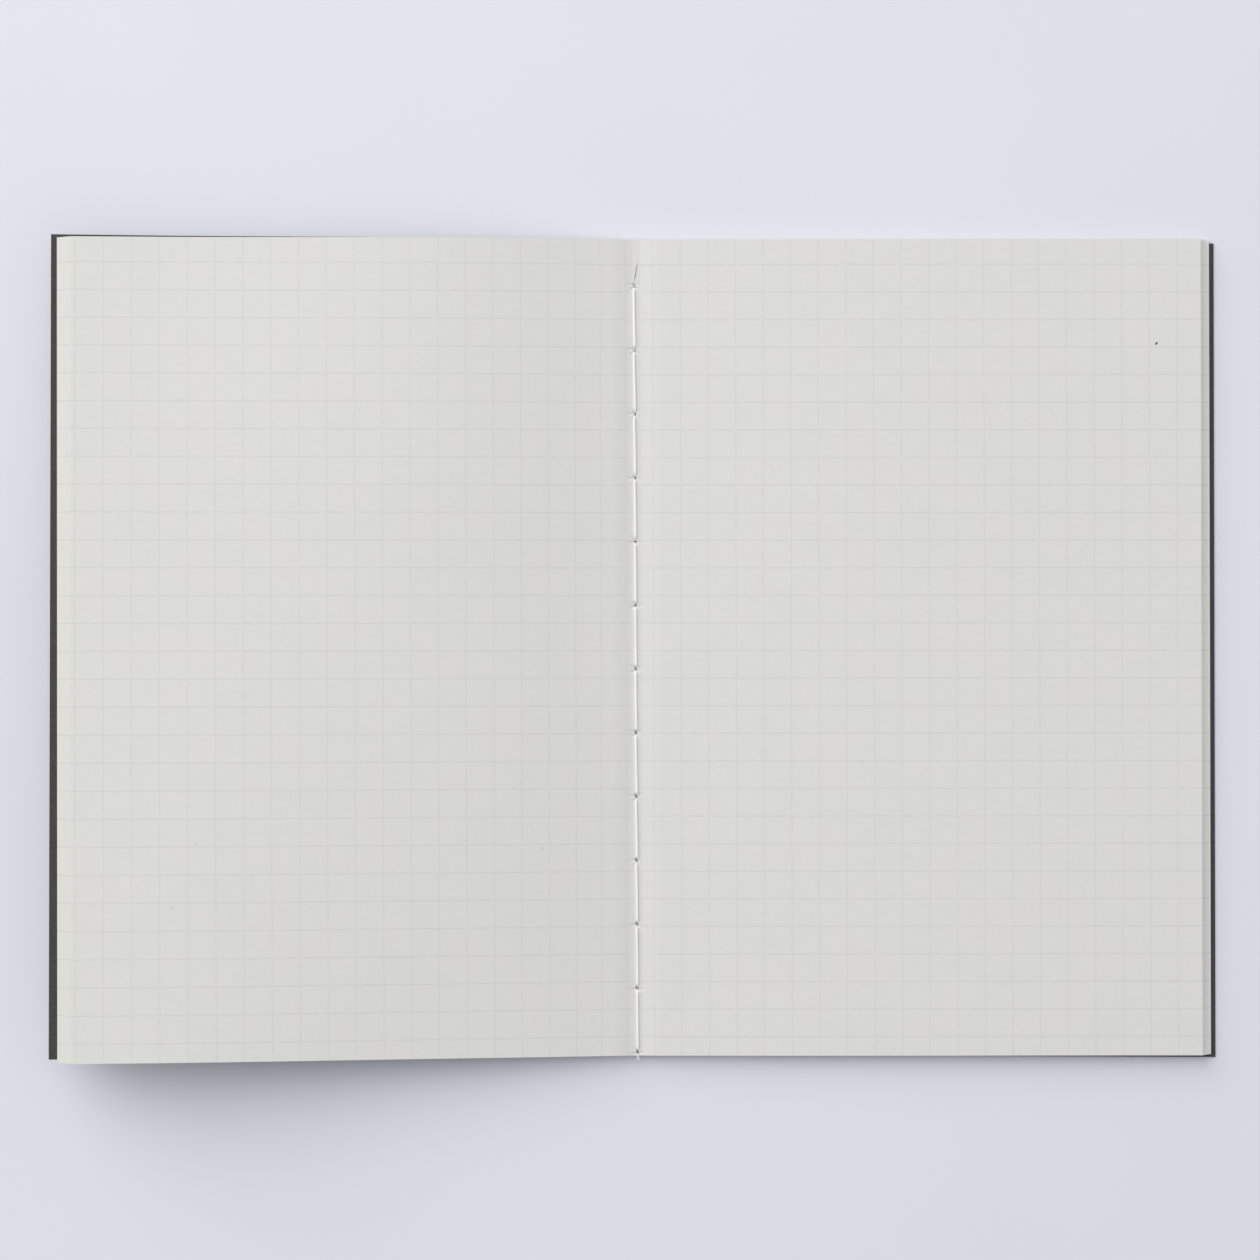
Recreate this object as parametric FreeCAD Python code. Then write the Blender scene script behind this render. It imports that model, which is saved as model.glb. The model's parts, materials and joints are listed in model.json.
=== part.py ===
"""A thread-sewn pocket notebook, lying open at its centre spread.

One card cover is folded round a single section of folded sheets, and one row of lockstitches
through the crease holds them. Millimetres. +Y is the head of the page, +X the right-hand page
and +Z up. The origin is on the table, under the middle of the crease.

Every sheet bends only in a narrow band about the crease, so it is made as a sewn fold between two
flat leaves. The front cover and all the leaves turn about one line along Y, the turning axis,
which runs just above the top leaf. What stays at the crease is kept inside a cylinder about that
axis, and what turns is kept outside it, so a leaf can pass through any angle. The back cover
stays flat on the table with the crease.
"""

import FreeCAD, Part
import math
import os

from FreeCAD import Vector

# ---- driving dimensions, mm ----
page_height = 148.0  # A6 portrait, head to tail
cover_width = 105.0  # A6 portrait, crease to fore edge
cover_fold_offset = 0.35  # the cover's crease is this far right of its middle
cover_thickness = 0.30
inner_leaf_width = 102.3  # the centre sheet, which trimming left narrowest
leaf_creep = 0.10  # each sheet further out is this much wider
paper_thickness = 0.10
sheet_count = 16

leaf_pitch = 0.145  # spacing of the loose leaves, with the air between them
fold_pitch = 0.102  # spacing of the same sheets where the stitches press them together
turn_clearance = 0.02  # from the top leaf's face to the turning axis
left_rest_angle = 5.35  # the left half stands this many degrees off the table

crease_radius = 3.60  # the leaves and boards begin this far from the turning axis
crease_gap = 0.05  # between a fold and its leaf

needle_thread_diameter = 0.30
bobbin_thread_diameter = 0.25
thread_clearance = 0.03
stitch_count = 12
stitch_length = 11.58
first_hole_from_head = 8.4
loose_end_length = 4.2  # what is left of the needle thread beyond the first hole
hole_clearance = 0.06

# ---- sizes that follow from them ----
head = page_height / 2
tail = -page_height / 2
turn_height = cover_thickness + sheet_count * leaf_pitch + turn_clearance
spine_underside = bobbin_thread_diameter + 2 * thread_clearance
spine_top = spine_underside + cover_thickness
fold_radius = crease_radius - crease_gap

# half the width of the loop that each thread makes round the other one, inside a hole
loop_reach = (needle_thread_diameter + bobbin_thread_diameter) / 2 + thread_clearance / 2
hole_radius = loop_reach + needle_thread_diameter / 2 + hole_clearance
crease_half_width = hole_radius + hole_clearance
hole_ys = [head - first_hole_from_head - n * stitch_length for n in range(stitch_count + 1)]


def leaf_height(number):
    """Mid-height of a leaf that lies flat. Number 1 is the top leaf, sheet_count the lowest."""
    return turn_height - turn_clearance - paper_thickness / 2 - (number - 1) * leaf_pitch


def fold_height(number):
    """Mid-height of a sheet at the crease, where the stitches press it down."""
    return spine_top + (sheet_count - number) * fold_pitch + fold_pitch - paper_thickness / 2


def leaf_width(number):
    return inner_leaf_width + (number - 1) * leaf_creep


def turned(shape_or_point, angle):
    """Turned about the turning axis, so that what points to -X rises by this many degrees."""
    axis_point = Vector(0, 0, turn_height)
    placement = FreeCAD.Placement(Vector(), FreeCAD.Rotation(Vector(0, 1, 0), angle), axis_point)
    if isinstance(shape_or_point, Vector):
        return placement.multVec(shape_or_point)
    return shape_or_point.transformGeometry(placement.toMatrix())


def prism(outline):
    """The solid that a closed outline of (x, z) points makes over the page height."""
    points = [Vector(x, tail, z) for x, z in outline]
    face = Part.Face(Part.makePolygon(points + [points[0]]))
    return face.extrude(Vector(0, page_height, 0))


# ---- leaves and cover boards ----
def flat_board(side, height, thickness, width):
    """A flat piece from the crease cylinder to its fore edge. Side is -1 or +1."""
    nearest = max(0.0, turn_height - height - thickness / 2)
    inner = math.sqrt(crease_radius**2 - nearest**2)
    length = width - inner
    corner = Vector(min(side * inner, side * width), tail, height - thickness / 2)
    return Part.makeBox(length, page_height, thickness, corner)


def left_leaf(number):
    flat = flat_board(-1, leaf_height(number), paper_thickness, leaf_width(number))
    return turned(flat, left_rest_angle)


def right_leaf(number):
    return flat_board(1, leaf_height(number), paper_thickness, leaf_width(number))


def front_cover():
    width = cover_width + cover_fold_offset
    return turned(flat_board(-1, cover_thickness / 2, cover_thickness, width), left_rest_angle)


def back_cover():
    return flat_board(1, cover_thickness / 2, cover_thickness, cover_width - cover_fold_offset)


# ---- what stays at the crease ----
def crease_strip(height_at_crease, height_outside, thickness, left_angle):
    """A bent strip through the crease, with a level floor for the stitches and its two arms
    ending just short of the leaves or boards that carry on from them."""
    furthest = turn_height - height_outside + thickness / 2
    reach = math.sqrt(fold_radius**2 - furthest**2)
    left_end = turned(Vector(-reach, 0, height_outside), left_angle)
    middle_line = [
        (left_end.x, left_end.z),
        (-crease_half_width, height_at_crease),
        (crease_half_width, height_at_crease),
        (reach, height_outside),
    ]
    lower = [(x, z - thickness / 2) for x, z in middle_line]
    upper = [(x, z + thickness / 2) for x, z in reversed(middle_line)]
    return prism(lower + upper)


def stitch_holes():
    """One upright cylinder per needle hole, tall enough for the whole section."""
    up = Vector(0, 0, 1)
    return [Part.makeCylinder(hole_radius, turn_height, Vector(0, y, 0), up) for y in hole_ys]


def sheet_fold(number):
    heights = fold_height(number), leaf_height(number)
    strip = crease_strip(*heights, paper_thickness, left_rest_angle)
    return strip.cut(stitch_holes())


def cover_spine():
    """Both of its arms lie on the table. The one on the right carries on into the back cover."""
    middle = (spine_underside + spine_top) / 2
    strip = crease_strip(middle, cover_thickness / 2, cover_thickness, 0)
    return strip.cut(stitch_holes())


# ---- thread ----
def rounded_path(points, radius):
    """Straight runs through the points, joined by tangent arcs of this radius."""
    edges = []
    start = points[0]
    for before, corner, after in zip(points, points[1:], points[2:]):
        back = (before - corner).normalize()
        ahead = (after - corner).normalize()
        half_opening = back.getAngle(ahead) / 2
        trim = radius / math.tan(half_opening)
        bisector = (back + ahead).normalize()
        centre = corner + bisector * (radius / math.sin(half_opening))
        arc_start = corner + back * trim
        arc_end = corner + ahead * trim
        edges.append(Part.LineSegment(start, arc_start).toShape())
        edges.append(Part.Arc(arc_start, centre - bisector * radius, arc_end).toShape())
        start = arc_end
    edges.append(Part.LineSegment(start, points[-1]).toShape())
    return Part.Wire(edges)


def tube(points, radius, diameter):
    path = rounded_path(points, radius)
    circle = Part.makeCircle(diameter / 2, points[0], points[1] - points[0])
    return path.makePipeShell([Part.Wire(circle)], True, False)


def needle_thread():
    """Runs along the inside of the crease and dips into each hole, round the bobbin thread."""
    run = fold_height(1) + paper_thickness / 2 + thread_clearance + needle_thread_diameter / 2
    lowest = (spine_underside + run) / 2 - loop_reach / 2
    points = [Vector(0, hole_ys[0] + loop_reach + loose_end_length, run)]
    for y in hole_ys:
        points.append(Vector(0, y + loop_reach, run))
        points.append(Vector(0, y + loop_reach, lowest))
        points.append(Vector(0, y - loop_reach, lowest))
        points.append(Vector(0, y - loop_reach, run))
    points.append(Vector(0, tail, run))
    return tube(points, 0.95 * loop_reach, needle_thread_diameter)


def bobbin_thread():
    """Runs along the outside of the spine and rises into each hole, through the needle loop."""
    run = thread_clearance + bobbin_thread_diameter / 2
    top = fold_height(1) + paper_thickness / 2 + thread_clearance + needle_thread_diameter / 2
    needle_lowest = (spine_underside + top) / 2 - loop_reach / 2
    highest = needle_lowest + loop_reach
    points = [Vector(-loop_reach, hole_ys[0] + loose_end_length / 2, run)]
    for y in hole_ys:
        points.append(Vector(-loop_reach, y, run))
        points.append(Vector(-loop_reach, y, highest))
        points.append(Vector(loop_reach, y, highest))
        points.append(Vector(loop_reach, y, run))
    points.append(Vector(loop_reach, tail, run))
    return tube(points, 0.95 * loop_reach, bobbin_thread_diameter)


def build():
    shapes = {
        "front_cover": front_cover(),
        "back_cover": back_cover(),
        "cover_spine": cover_spine(),
        "needle_thread": needle_thread(),
        "bobbin_thread": bobbin_thread(),
    }
    for number in range(1, sheet_count + 1):
        shapes[f"left_leaf_{number:02d}"] = left_leaf(number)
        shapes[f"sheet_fold_{number:02d}"] = sheet_fold(number)
        shapes[f"right_leaf_{number:02d}"] = right_leaf(number)
    return shapes


os.makedirs("parts", exist_ok=True)
for name, shape in build().items():
    if not shape.isValid() or not shape.Solids:
        raise ValueError(f"{name} is not a closed solid")
    shape.exportStep(f"parts/{name}.step")
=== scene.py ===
"""The looks of a thread-sewn pocket notebook that lies open at its centre spread.

Lengths in the values below are millimetres, and meshes are made in metres. A leaf or a cover board
is described flat first: "along" runs from the crease to the fore edge, "across" from tail to head
and "rise" up from the CAD plane. The left half is then turned up about the crease to its rest angle.
"""

import json
import math
import random

import bmesh
import bpy
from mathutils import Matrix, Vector, noise


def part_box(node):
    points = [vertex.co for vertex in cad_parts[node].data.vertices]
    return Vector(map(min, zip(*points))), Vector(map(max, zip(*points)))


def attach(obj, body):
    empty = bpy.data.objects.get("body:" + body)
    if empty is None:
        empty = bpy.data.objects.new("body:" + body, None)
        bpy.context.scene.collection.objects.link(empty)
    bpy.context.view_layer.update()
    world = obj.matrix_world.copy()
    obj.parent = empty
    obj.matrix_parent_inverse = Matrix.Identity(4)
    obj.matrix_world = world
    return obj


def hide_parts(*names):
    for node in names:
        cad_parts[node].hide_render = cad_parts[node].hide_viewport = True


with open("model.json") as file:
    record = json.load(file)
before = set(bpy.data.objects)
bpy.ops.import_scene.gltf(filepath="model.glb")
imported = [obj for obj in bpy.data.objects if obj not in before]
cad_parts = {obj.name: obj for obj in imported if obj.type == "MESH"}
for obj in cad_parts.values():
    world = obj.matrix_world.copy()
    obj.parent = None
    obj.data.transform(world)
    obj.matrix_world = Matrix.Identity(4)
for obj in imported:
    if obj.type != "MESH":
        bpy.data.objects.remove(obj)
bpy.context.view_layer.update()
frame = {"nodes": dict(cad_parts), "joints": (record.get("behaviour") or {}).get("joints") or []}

MM = 0.001

# ---- what the frame says ----
random.seed(16)
cover_hinge = next(joint for joint in frame["joints"] if joint["name"] == "front_cover_turn")
turn_height = cover_hinge["pos_m"][2] / MM
left_tilt = -cover_hinge["range_deg"][0]
leaf_count = sum(node.startswith("right_leaf") for node in frame["nodes"])
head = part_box("back_cover")[1].y / MM
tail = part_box("back_cover")[0].y / MM
crease_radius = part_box("right_leaf_01")[0].x / MM

# ---- shape of the paper ----
paper_thickness = 0.10
cover_thickness = 0.30
crease_dip = 0.36  # how far the top sheet sinks where it is sewn
dip_width = 4.5
sewn_half_width = 0.70  # the part of the top sheet that stays under the thread
left_bow = 1.20  # the left half bows up over its chord
right_bow = 0.35
bow_peak = 40.0  # most at this distance from the crease
left_twist = 2.9  # its tail end stands this much higher than its middle, and its head end lower
twist_start = 28
twist_full = 90  # the twist is complete at this distance from the crease
cockle_rise = 0.16  # gentle waves in the loose leaves
cockle_size = 55.0
cockle_start = 25
cockle_full = 75
leaf_lean = 0.15  # degrees that the fore edges lean to the left at the head
leaf_slant = 0.05  # degrees that the head edge rises to the right
front_cover_lean = -0.04  # the same two angles for the cover
back_cover_lean = 0.14
cover_slant = -0.26
left_fan_inner = -0.60  # the left leaves are fanned: the top one is drawn in
left_fan_outer = 0.45  # and the lowest one stands out
right_fan_inner = 0.04
right_fan_outer = 0.42
fan_scatter = 0.10
back_cover_reach = 0.38  # how much further out than in the CAD model its edge lies
painted_crease_shade_lift = 0.10  # sets the painted crease shade, a thin dark mark, on the sewn strip, which lies over the dip

# ---- stitching ----
hole_count = 13
stitch_length = 11.58
first_hole_from_head = 8.4
thread_diameter = 0.42
bobbin_diameter = 0.25
bobbin_clearance = 0.03  # from the table to the bobbin thread
ply_count = 3
ply_turn_length = 1.6
stitch_gap = 0.44  # between two stitches, at the hole they share
stitch_slant = 0.12  # each one starts and ends a little to the side
stitch_dive_length = 0.28
needle_dive = -0.9
bobbin_dive = 0.4
thread_shift = -0.23  # from the crease
thread_lean = 0.27  # degrees
hole_half_width = 0.18
hole_half_length = 0.40
hole_depth = 1.3
pucker_rise = 0.09
pucker_reach = 1.0
hole_ys = [head - first_hole_from_head - n * stitch_length for n in range(hole_count)]

# ---- printed grid ----
grid_step = 5.0
grid_phase_x = 3.0
grid_phase_y = 4.45
grid_line_width = 0.24
grid_strength_x = 0.17
grid_strength_y = 0.22
curl_length = 0.9  # paper that the tight curl beside the crease takes up on the left
curl_end = 14
edge_band_start = 102.6  # by the fore edge beyond this line, the left half is coloured a little lighter and warmer, and the right half much lighter, which is painted light

# ---- colours, linear ----
PAPER = (0.703, 0.696, 0.666)
PAPER_WARM = (0.713, 0.693, 0.654)
PAPER_COOL = (0.693, 0.698, 0.675)
PAPER_EDGE = (0.718, 0.702, 0.669)
# painted light: the right fore edge gets a much lighter colour than the same paper on the left, to
# brighten the shaded steps of its leaf edges
PAPER_EDGE_RIGHT_PAINTED_LIGHT = (0.86, 0.85, 0.82)
INK = (0.42, 0.42, 0.43)
CARD = (0.044, 0.041, 0.040)
CARD_PALE = (0.090, 0.084, 0.081)  # where the card's fibres catch the light
# dark colour of the flecks, also used for the painted shade along the crease above the first hole
FLECK_AND_CREASE_SHADE = (0.10, 0.095, 0.085)
THREAD = (0.93, 0.925, 0.89)
THREAD_SHADED = (0.86, 0.85, 0.81)
FLOOR = (0.725, 0.745, 0.79)

# ---- camera, metres ----
camera_distance = 0.700  # above the table
camera_place = (-0.0013, 0.0032)
page_plane_height = 0.0026
view_width = 0.2285  # what the picture spans at the page plane


# ---- small helpers ----
def smooth_step(low, high, value):
    t = min(1.0, max(0.0, (value - low) / (high - low)))
    return t * t * (3 - 2 * t)


def spread(start, stop, count):
    return [start + (stop - start) * n / (count - 1) for n in range(count)]


def make_mesh(name, points, faces, uvs=None):
    """A mesh object from points in millimetres, with one (u, v) per point for the page map."""
    mesh = bpy.data.meshes.new(name)
    mesh.from_pydata([Vector(p) * MM for p in points], [], faces)
    if uvs:
        layer = mesh.uv_layers.new(name="page")
        for loop in mesh.loops:
            layer.data[loop.index].uv = uvs[loop.vertex_index]
    mesh.validate()
    mesh.shade_smooth()
    mesh.set_sharp_from_angle(angle=math.radians(50))
    obj = bpy.data.objects.new(name, mesh)
    bpy.context.scene.collection.objects.link(obj)
    return obj


def slab_mesh(name, alongs, acrosses, surface, thickness, uv_scale=1.0):
    """A thin closed sheet. surface(along, across, offset) gives the point that lies this far above
    the middle of the sheet."""
    points, uvs, faces = [], [], []
    lengths = [[abs(alongs[0])] * len(acrosses)]
    for before, along in zip(alongs, alongs[1:]):
        steps = [(surface(along, y, 0) - surface(before, y, 0)).length for y in acrosses]
        lengths.append([length + step for length, step in zip(lengths[-1], steps)])
    for offset in (thickness / 2, -thickness / 2):
        for along, row_lengths in zip(alongs, lengths):
            for across, length in zip(acrosses, row_lengths):
                points.append(surface(along, across, offset))
                if uv_scale < 0:
                    length += curl_length * smooth_step(0, curl_end, along)
                uvs.append((length * uv_scale, across))
    rows, columns = len(alongs), len(acrosses)
    under = rows * columns

    def at(row, column):
        return row * columns + column

    for row in range(rows - 1):
        for column in range(columns - 1):
            corners = [at(row, column), at(row + 1, column)]
            corners += [at(row + 1, column + 1), at(row, column + 1)]
            faces.append(corners)
            faces.append([under + c for c in reversed(corners)])
    border = [at(row, 0) for row in range(rows)]
    border += [at(rows - 1, column) for column in range(1, columns)]
    border += [at(row, columns - 1) for row in range(rows - 2, -1, -1)]
    border += [at(0, column) for column in range(columns - 2, 0, -1)]
    for here, following in zip(border, border[1:] + border[:1]):
        faces.append([following, here, under + here, under + following])
    obj = make_mesh(name, points, faces, uvs)
    recalculate_normals(obj)
    return obj


def recalculate_normals(obj):
    work = bmesh.new()
    work.from_mesh(obj.data)
    bmesh.ops.recalc_face_normals(work, faces=work.faces)
    work.to_mesh(obj.data)
    work.free()


# ---- how leaves lie ----
def hump(along):
    """Rises from 0 at the crease to 1 at the peak, then falls off slowly."""
    t = max(0.0, along - crease_radius) / (bow_peak - crease_radius)
    return (t * math.exp(1 - t)) ** 2


def bow(side, along, across, depth):
    """Rise of a half over its flat CAD plane. The lowest right leaf stays on the cover."""
    if side > 0:
        return right_bow * hump(along) * (1 - depth)
    twist = -left_twist * across / head * smooth_step(twist_start, twist_full, along)
    return left_bow * hump(along) + twist


def cockle(side, along, across, depth):
    """Waves of the loose leaves, fading out downwards and towards the crease."""
    wave = noise.noise(Vector((along / cockle_size, across / cockle_size, 7.3 * side)))
    ripple = Vector((along * 2.3 / cockle_size, across * 2.3 / cockle_size, 3.1 * side))
    wave += 0.4 * noise.noise(ripple)
    start = smooth_step(cockle_start, cockle_full, along)
    return cockle_rise * (0.5 + 0.5 * wave) * (1 - depth) * start


def nearest_hole(across):
    return min(hole_ys, key=lambda y: abs(across - y))


def thread_line(across):
    """How far right of the crease the thread lies, which is sewn a little askew."""
    return thread_shift - across * math.tan(math.radians(thread_lean - leaf_lean))


def stitch_rows(reach, fine, coarse):
    """Places from tail to head: fine within this reach of every needle hole, coarse elsewhere."""
    rows = [tail]
    while rows[-1] < head:
        away = abs(rows[-1] + fine / 2 - nearest_hole(rows[-1] + fine / 2))
        step = fine if away < reach else min(coarse, max(fine, away - reach))
        rows.append(min(head, rows[-1] + step))
    return rows


def dip(across_crease, across):
    """How far the top sheet sinks towards the stitches, with small puckers round each hole."""
    sink = crease_dip * (1 - smooth_step(0, dip_width, abs(across_crease)))
    lengthways = across - nearest_hole(across)
    sideways = across_crease - thread_line(across)
    away = math.hypot(sideways, lengthways)
    fold = math.cos(5 * math.atan2(lengthways, sideways) + 1.7 * nearest_hole(across))
    reach = away / pucker_reach
    return sink + pucker_rise * (0.6 + fold) * reach * math.exp(1 - reach**2 * 2)


def settle(point, side, lean, slant):
    """A flat point, turned up with the left half and put askew in the plane of the page."""
    if side < 0:
        angle = math.radians(left_tilt)
        x, z = point.x, point.z - turn_height
        point = Vector((
            x * math.cos(angle) + z * math.sin(angle),
            point.y,
            turn_height - x * math.sin(angle) + z * math.cos(angle),
        ))
    point.x, point.y = (
        point.x - point.y * math.tan(math.radians(lean)),
        point.y + point.x * math.tan(math.radians(slant)),
    )
    return point


def leaf_surface(side, number, height):
    """The surface function of one leaf, whose middle lies at this height when it is flat."""
    depth = (number - 1) / (leaf_count - 1)

    def surface(along, across, offset):
        rise = cockle(side, along, across, depth) + bow(side, along, across, depth) + offset
        if number == 1:
            rise -= dip(side * along, across)
        return settle(Vector((side * along, across, height + rise)), side, leaf_lean, leaf_slant)

    return surface


def make_leaf(side, number):
    name = f"{'left' if side < 0 else 'right'}_leaf_{number:02d}"
    low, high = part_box(f"right_leaf_{number:02d}")
    height = (low.z + high.z) / 2 / MM
    inner, reach = low.x / MM, high.x / MM
    share = (number - 1) / (leaf_count - 1)
    fan = (left_fan_inner, left_fan_outer) if side < 0 else (right_fan_inner, right_fan_outer)
    reach += fan[0] + (fan[1] - fan[0]) * share
    if number > 1:
        reach += fan_scatter * random.uniform(-1, 1)
    if number == 1:
        alongs = spread(sewn_half_width, 2.4, 18)[:-1] + spread(2.4, 6, 10)[:-1] + spread(6, reach, 60)
        acrosses = stitch_rows(1.5, 0.15, 0.9)
    else:
        alongs = spread(inner, 24, 16)[:-1] + spread(24, reach, 24)
        acrosses = spread(tail, head, 38)
    surface = leaf_surface(side, number, height)
    leaf = slab_mesh(f"{name}_sheet", alongs, acrosses, surface, paper_thickness, side)
    return leaf, name


def cover_surface(side, height):
    lean = front_cover_lean if side < 0 else back_cover_lean

    def surface(along, across, offset):
        rise = offset + bow(side, along, across, 1.0)
        return settle(Vector((side * along, across, height + rise)), side, lean, cover_slant)

    return surface


def make_cover(side):
    name = "front_cover" if side < 0 else "back_cover"
    low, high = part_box("back_cover")
    height = (low.z + high.z) / 2 / MM
    inner, reach = low.x / MM, high.x / MM + back_cover_reach
    if side < 0:
        reach = -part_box("front_cover")[0].x / MM / math.cos(math.radians(left_tilt))
    alongs = spread(inner, 24, 16)[:-1] + spread(24, reach, 30)
    acrosses = spread(tail, head, 40)
    surface = cover_surface(side, height)
    return slab_mesh(f"{name}_card", alongs, acrosses, surface, cover_thickness), name


def top_sheet_height():
    low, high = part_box("right_leaf_01")
    return (low.z + high.z) / 2 / MM


def make_sewn_strip():
    """The narrow middle of the top sheet, pulled down into each needle hole."""
    height = top_sheet_height()
    left = leaf_surface(-1, 1, height)
    right = leaf_surface(1, 1, height)

    def surface(along, across, offset):
        share = (along + sewn_half_width) / (2 * sewn_half_width)
        left_point = left(sewn_half_width, across, offset)
        point = left_point.lerp(right(sewn_half_width, across, offset), share)
        nearest = nearest_hole(across)
        sideways = (along - thread_line(nearest) + 0.3 * (across - nearest)) / hole_half_width
        lengthways = (across - nearest) / hole_half_length
        point.z -= hole_depth * math.exp(-((sideways**2 + lengthways**2) ** 1.5))
        return point

    alongs = spread(-sewn_half_width, sewn_half_width, 29)
    acrosses = stitch_rows(0.9, 0.06, 0.9)
    return slab_mesh("centre_fold", alongs, acrosses, surface, paper_thickness)


# ---- thread ----
def axes_at(path, index):
    """Two directions square to a path at one of its points, and to each other."""
    before = path[max(0, index - 1)]
    after = path[min(len(path) - 1, index + 1)]
    forward = (after - before).normalized()
    across = forward.cross(Vector((1, 0, 0.001))).normalized()
    return across, forward.cross(across)


def strand_tube(path, radius, sides=8):
    """Rings of points round a path, capped at both ends, as (points, faces)."""
    points, faces = [], []
    for index, centre in enumerate(path):
        across, upward = axes_at(path, index)
        for side in range(sides):
            angle = 2 * math.pi * side / sides
            points.append(centre + (across * math.cos(angle) + upward * math.sin(angle)) * radius)
    for ring in range(len(path) - 1):
        for side in range(sides):
            a = ring * sides + side
            b = ring * sides + (side + 1) % sides
            faces.append([a, b, b + sides, a + sides])
    faces.append(list(range(sides))[::-1])
    last = (len(path) - 1) * sides
    faces.append([last + side for side in range(sides)])
    return points, faces


def twisted_thread(name, paths, diameter):
    """Plies twisted round each path, joined in one mesh."""
    points, faces = [], []
    ply_radius = diameter / 2 / (1 + 1 / math.sin(math.pi / ply_count))
    ply_offset = diameter / 2 - ply_radius
    for path in paths:
        for ply in range(ply_count):
            travelled = 0.0
            strand = []
            for index, centre in enumerate(path):
                if index:
                    travelled += (centre - path[index - 1]).length
                angle = 2 * math.pi * (ply / ply_count + travelled / ply_turn_length)
                across, upward = axes_at(path, index)
                turn = across * math.cos(angle) + upward * math.sin(angle)
                strand.append(centre + turn * ply_offset)
            tube_points, tube_faces = strand_tube(strand, ply_radius * 1.25)
            start = len(points)
            points += tube_points
            faces += [[start + corner for corner in face] for face in tube_faces]
    return make_mesh(name, points, faces)


def stitch_path(upper_y, lower_y, floor_height, dive, side_shift, slant, loose_start=False):
    """One stitch that lies along the crease and dives into the holes at its ends. dive is negative
    where the holes lie below it and positive where they lie above. A loose start doesn't dive."""
    path = []
    for t in spread(0.0, 1.0, 49):
        y = upper_y + (lower_y - upper_y) * t
        from_start = math.inf if loose_start else upper_y - y
        sink = math.exp(-((min(from_start, y - lower_y) / stitch_dive_length) ** 2))
        x = side_shift + slant * (t - 0.5) + 0.02 * math.sin(5.1 * t + upper_y)
        x -= y * math.tan(math.radians(thread_lean))
        path.append(Vector((x, y, floor_height + dive * sink)))
    return path


def make_needle_thread():
    sheet_top = top_sheet_height() - crease_dip + paper_thickness / 2
    run = sheet_top + thread_diameter * 0.42
    paths = []
    for upper, lower in zip(hole_ys, hole_ys[1:]):
        ends = upper - stitch_gap / 2, lower + stitch_gap / 2
        paths.append(stitch_path(*ends, run, needle_dive, thread_shift, stitch_slant))
    return twisted_thread("needle_thread_plies", paths, thread_diameter)


def make_bobbin_thread():
    low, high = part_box("bobbin_thread")
    run = bobbin_clearance + bobbin_diameter / 2
    paths = []
    for upper, lower in zip(hole_ys, hole_ys[1:]):
        paths.append(stitch_path(upper - 0.2, lower + 0.2, run, bobbin_dive, 0.0, 0.3))
    first_end = high.y / MM, hole_ys[0] + 0.2
    paths.append(stitch_path(*first_end, run, bobbin_dive, 0.0, 0.1, loose_start=True))
    return twisted_thread("bobbin_thread_plies", paths, bobbin_diameter)


def make_frayed_end():
    """The cut end of the needle thread, untwisted, beyond the last hole."""
    side_shift = thread_shift - hole_ys[-1] * math.tan(math.radians(thread_lean))
    start = Vector((side_shift, hole_ys[-1] - 0.25, top_sheet_height() - 0.1))
    points, faces = [], []
    for _ in range(4):
        sideways, lift = random.uniform(-0.5, 0.4), random.uniform(-0.5, 0.1)
        path = []
        for t in spread(0, 1, 14):
            path.append(start + Vector((sideways * t**1.5, -1.2 * t, lift * t * t)))
        tube_points, tube_faces = strand_tube(path, 0.045, 6)
        faces += [[len(points) + corner for corner in face] for face in tube_faces]
        points += tube_points
    return make_mesh("frayed_thread_end", points, faces)


def make_fleck(name, side, along, across, length, width, turn, lift=0.0):
    """A flat dark mark with an irregular outline in the surface of a top page. It draws dark fibre
    bundles, and also the painted shade along a crease.
    """
    surface = leaf_surface(side, 1, top_sheet_height())
    rim, count = [], 18
    for n in range(count):
        angle = 2 * math.pi * n / count
        wobble = random.uniform(0.8, 1.15)
        x = wobble * length / 2 * math.cos(angle)
        y = wobble * width / 2 * math.sin(angle)
        turned_x = x * math.cos(turn) - y * math.sin(turn)
        rim.append((turned_x, x * math.sin(turn) + y * math.cos(turn)))
    points = []
    for offset in (0.006, -0.02):
        height = lift + paper_thickness / 2 + offset
        points += [surface(along + side * x, across + y, height) for x, y in rim]
    points.append(surface(along, across, lift + paper_thickness / 2 + 0.02))
    faces = []
    for n in range(count):
        following = (n + 1) % count
        faces.append([2 * count, n, following])
        faces.append([n, count + n, count + following, following])
    faces.append([count + n for n in reversed(range(count))])
    fleck = make_mesh(name, points, faces)
    recalculate_normals(fleck)
    return fleck


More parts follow.
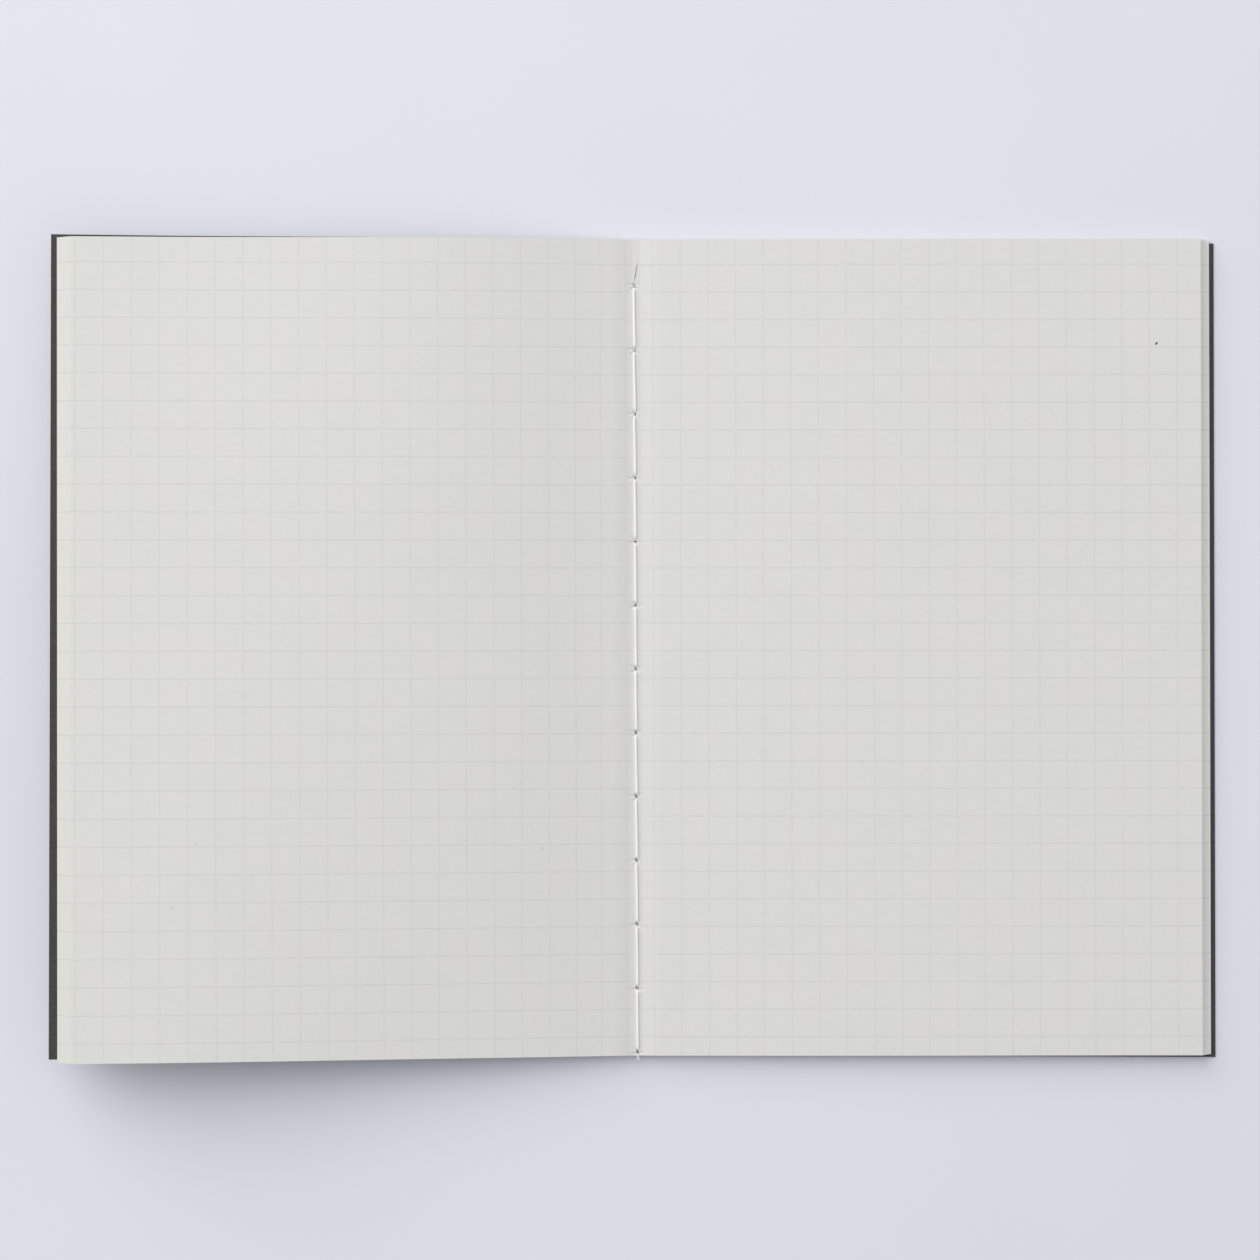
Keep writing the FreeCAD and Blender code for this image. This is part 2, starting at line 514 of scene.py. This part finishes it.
# ---- materials ----
class Nodes:
    """Short names for building a node tree."""

    def __init__(self, material):
        material.use_nodes = True
        self.tree = material.node_tree
        self.shader = self.tree.nodes["Principled BSDF"]

    def add(self, kind, inputs=None, **settings):
        node = self.tree.nodes.new(kind)
        for key, value in settings.items():
            setattr(node, key, value)
        for key, value in (inputs or {}).items():
            self.set(node.inputs[key], value)
        return node

    def set(self, socket, value):
        if isinstance(value, bpy.types.NodeSocket):
            self.tree.links.new(value, socket)
        else:
            socket.default_value = value

    def math(self, operation, a, b=None):
        node = self.add("ShaderNodeMath", operation=operation)
        for index, value in enumerate((a, b)):
            if value is not None:
                self.set(node.inputs[index], value)
        return node.outputs[0]

    def ramp(self, value, from_low, from_high, to_low, to_high, smooth=False):
        kind = "SMOOTHSTEP" if smooth else "LINEAR"
        node = self.add("ShaderNodeMapRange", interpolation_type=kind)
        for key, item in zip(("Value", "From Min", "From Max", "To Min", "To Max"),
                             (value, from_low, from_high, to_low, to_high)):
            self.set(node.inputs[key], item)
        return node.outputs["Result"]

    def noise(self, coordinates, scale, detail=2.0, roughness=0.5):
        return self.add("ShaderNodeTexNoise", {
            "Vector": coordinates, "Scale": scale, "Detail": detail, "Roughness": roughness,
        }).outputs["Fac"]

    def mix(self, factor, a, b):
        node = self.add("ShaderNodeMix", data_type="RGBA")
        for key, value in ((0, factor), (6, a), (7, b)):
            is_colour = isinstance(value, tuple)
            self.set(node.inputs[key], (*value, 1) if is_colour else value)
        return node.outputs[2]

    def bump(self, height, strength, distance, normal=None):
        node = self.add("ShaderNodeBump", {"Height": height, "Strength": strength, "Distance": distance})
        if normal is not None:
            self.set(node.inputs["Normal"], normal)
        return node.outputs["Normal"]


def paper_material(name, with_grid):
    material = bpy.data.materials.new(name)
    nodes = Nodes(material)
    place = nodes.add("ShaderNodeTexCoord").outputs["Object"]
    cloud = nodes.noise(place, 0.12 / MM, 3.0)
    tint = nodes.mix(nodes.ramp(cloud, 0.35, 0.65, 0.0, 1.0), PAPER_WARM, PAPER_COOL)
    colour = nodes.mix(0.5, tint, PAPER)
    formation = nodes.noise(place, 0.8 / MM, 4.0, 0.6)
    shade = nodes.ramp(formation, 0.3, 0.7, 0.985, 1.01)
    if with_grid:
        page = nodes.add("ShaderNodeUVMap", uv_map="page").outputs["UV"]
        split = nodes.add("ShaderNodeSeparateXYZ", {"Vector": page})
        ink = None
        for axis, phase, strength in (
            ("X", grid_phase_x, grid_strength_x),
            ("Y", grid_phase_y, grid_strength_y),
        ):
            shifted = nodes.math("SUBTRACT", split.outputs[axis], phase)
            distance = nodes.math("PINGPONG", shifted, grid_step / 2)
            fade = grid_line_width * 0.25, grid_line_width * 0.75
            line = nodes.ramp(distance, *fade, strength, 0.0, True)
            ink = line if ink is None else nodes.math("MAXIMUM", ink, line)
        broken = nodes.ramp(nodes.noise(place, 1.1 / MM, 3.0, 0.7), 0.35, 0.65, 0.55, 1.1)
        from_crease = nodes.math("ABSOLUTE", split.outputs["X"])
        edge_band_mask = nodes.ramp(from_crease, edge_band_start, edge_band_start + 0.3, 0.0, 1.0, True)
        # beyond the edge band the left half gets a slightly lighter, warmer colour, and the right half
        # gets painted light that brightens the shaded steps of its leaf edges
        right_half = nodes.math("GREATER_THAN", split.outputs["X"], 0.0)
        colour = nodes.mix(edge_band_mask, colour, nodes.mix(right_half, PAPER_EDGE, PAPER_EDGE_RIGHT_PAINTED_LIGHT))
        colour = nodes.mix(nodes.math("MULTIPLY", ink, broken), colour, INK)
    tinted = nodes.add("ShaderNodeVectorMath", operation="SCALE")
    nodes.set(tinted.inputs[0], colour)
    nodes.set(tinted.inputs["Scale"], shade)
    nodes.set(nodes.shader.inputs["Base Color"], tinted.outputs[0])
    stretched = nodes.add("ShaderNodeMapping", {"Vector": place, "Scale": (1.0, 0.35, 1.0)}).outputs[0]
    fibres = nodes.noise(stretched, 5.0 / MM, 4.0, 0.65)
    fine = nodes.bump(fibres, 0.25, 0.00003)
    nodes.set(nodes.shader.inputs["Normal"], nodes.bump(formation, 0.2, 0.00006, fine))
    nodes.set(nodes.shader.inputs["Roughness"], nodes.ramp(fibres, 0.3, 0.7, 0.72, 0.9))
    nodes.shader.inputs["Specular IOR Level"].default_value = 0.25
    return material


def card_material():
    material = bpy.data.materials.new("charcoal_card")
    nodes = Nodes(material)
    place = nodes.add("ShaderNodeTexCoord").outputs["Object"]
    grain = nodes.noise(place, 1.6 / MM, 5.0, 0.65)
    stretched = nodes.add("ShaderNodeMapping", {"Vector": place, "Scale": (0.3, 1.0, 1.0)}).outputs[0]
    fibres = nodes.noise(stretched, 6.0 / MM, 3.0, 0.6)
    both = nodes.math("ADD", nodes.math("MULTIPLY", grain, 0.6), nodes.math("MULTIPLY", fibres, 0.4))
    colour = nodes.mix(nodes.ramp(both, 0.42, 0.66, 0.0, 0.6), CARD, CARD_PALE)
    nodes.set(nodes.shader.inputs["Base Color"], colour)
    nodes.set(nodes.shader.inputs["Roughness"], nodes.ramp(both, 0.3, 0.7, 0.7, 0.88))
    nodes.set(nodes.shader.inputs["Normal"], nodes.bump(both, 0.35, 0.00008))
    nodes.shader.inputs["Specular IOR Level"].default_value = 0.3
    return material


def thread_material():
    material = bpy.data.materials.new("white_polyester_thread")
    nodes = Nodes(material)
    place = nodes.add("ShaderNodeTexCoord").outputs["Object"]
    along = nodes.add("ShaderNodeMapping", {"Vector": place, "Scale": (1.0, 0.2, 1.0)}).outputs[0]
    fibres = nodes.noise(along, 22.0 / MM, 3.0, 0.6)
    colour = nodes.mix(nodes.ramp(fibres, 0.3, 0.7, 0.0, 1.0), THREAD_SHADED, THREAD)
    nodes.set(nodes.shader.inputs["Base Color"], colour)
    nodes.set(nodes.shader.inputs["Normal"], nodes.bump(fibres, 0.4, 0.00002))
    nodes.shader.inputs["Roughness"].default_value = 0.5
    nodes.shader.inputs["Sheen Weight"].default_value = 0.25
    return material


# dark flecks of fibre, and the painted shade along a crease
def fleck_material():
    material = bpy.data.materials.new("dark_fibre_and_crease_shade")
    nodes = Nodes(material)
    place = nodes.add("ShaderNodeTexCoord").outputs["Object"]
    mottle = nodes.noise(place, 12.0 / MM, 3.0)
    nodes.set(nodes.shader.inputs["Base Color"], nodes.mix(mottle, FLECK_AND_CREASE_SHADE, tuple(1.6 * c for c in FLECK_AND_CREASE_SHADE)))
    nodes.shader.inputs["Roughness"].default_value = 0.9
    return material


def floor_material():
    material = bpy.data.materials.new("pale_table")
    nodes = Nodes(material)
    place = nodes.add("ShaderNodeTexCoord").outputs["Object"]
    cloud = nodes.noise(place, 0.02 / MM, 2.0)
    colour = nodes.mix(nodes.ramp(cloud, 0.3, 0.7, 0.0, 1.0), FLOOR, tuple(c * 0.985 for c in FLOOR))
    nodes.set(nodes.shader.inputs["Base Color"], colour)
    nodes.shader.inputs["Roughness"].default_value = 0.85
    nodes.shader.inputs["Specular IOR Level"].default_value = 0.15
    return material


def dress(obj, material):
    obj.data.materials.clear()
    obj.data.materials.append(material)


# ---- stage, lights and camera ----
def make_stage():
    bpy.ops.mesh.primitive_plane_add(size=6.0, location=(0, 0, 0))
    floor = bpy.context.object
    floor.name = "floor"
    dress(floor, floor_material())


def add_area_light(name, place, size, watts, colour):
    light = bpy.data.lights.new(name, "AREA")
    light.shape = "RECTANGLE"
    light.size, light.size_y = size
    light.energy = watts
    light.color = colour
    lamp = bpy.data.objects.new(name, light)
    lamp.location = place
    lamp.rotation_euler = (-Vector(place)).to_track_quat("-Z", "Y").to_euler()
    bpy.context.scene.collection.objects.link(lamp)


def make_light():
    world = bpy.context.scene.world or bpy.data.worlds.new("studio")
    bpy.context.scene.world = world
    world.use_nodes = True
    backdrop = world.node_tree.nodes["Background"]
    backdrop.inputs["Color"].default_value = (0.93, 0.96, 1.0, 1)
    backdrop.inputs["Strength"].default_value = 0.38
    add_area_light("window", (-1.05, 1.3, 1.05), (1.7, 1.7), 28.0, (1.0, 0.99, 0.97))
    add_area_light("softbox", (-0.3, 0.4, 1.8), (1.4, 1.4), 14.0, (1.0, 1.0, 1.0))


def make_camera():
    camera_data = bpy.data.cameras.new("camera")
    camera = bpy.data.objects.new("camera", camera_data)
    camera_data.sensor_width = 36.0
    camera_data.lens = 36.0 * (camera_distance - page_plane_height) / view_width
    camera_data.clip_start = 0.01
    camera_data.clip_end = 20.0
    camera.location = (*camera_place, camera_distance)
    bpy.context.scene.collection.objects.link(camera)
    bpy.context.scene.camera = camera


# ---- put it together ----
make_camera()
make_light()
make_stage()
bpy.context.scene.view_settings.view_transform = "Standard"

grid_paper = paper_material("grid_paper", True)
plain_paper = paper_material("plain_paper", False)
card = card_material()
thread = thread_material()

for side in (-1, 1):
    for number in range(1, leaf_count + 1):
        leaf, node = make_leaf(side, number)
        dress(leaf, grid_paper)
        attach(leaf, node)
        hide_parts(node)
    board, node = make_cover(side)
    dress(board, card)
    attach(board, "front_cover" if side < 0 else "binding")
    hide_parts(node)

strip = make_sewn_strip()
dress(strip, plain_paper)
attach(strip, "binding")
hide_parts("sheet_fold_01")

fray = make_frayed_end()
dress(fray, thread)
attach(fray, "binding")

fleck_and_crease_shade_material = fleck_material()
dark_marks = [
    make_fleck("page_fleck", 1, 94.3, 55.1, 0.62, 0.42, 0.9),
    # painted shade: a thin dark mark laid along the crease above the first hole, where the paper is only
    # shaded
    make_fleck("painted_crease_shade", 1, -0.1, 67.9, 4.2, 0.11, 1.40, painted_crease_shade_lift),
]
for number in range(3):
    along, across = random.uniform(15, 90), random.uniform(-60, 60)
    dark_marks.append(make_fleck(f"small_fleck_{number + 1}", -1, along, across, 0.22, 0.14, across))
dark_mark_bodies = {"page_fleck": "right_leaf_01", "painted_crease_shade": "binding"}
for fleck in dark_marks:
    dress(fleck, fleck_and_crease_shade_material)
    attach(fleck, dark_mark_bodies.get(fleck.name, "left_leaf_01"))

for make_thread, node in (
    (make_needle_thread, "needle_thread"),
    (make_bobbin_thread, "bobbin_thread"),
):
    plies = make_thread()
    dress(plies, thread)
    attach(plies, "binding")
    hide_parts(node)

for number in range(2, leaf_count + 1):
    dress(frame["nodes"][f"sheet_fold_{number:02d}"], plain_paper)
dress(frame["nodes"]["cover_spine"], card)
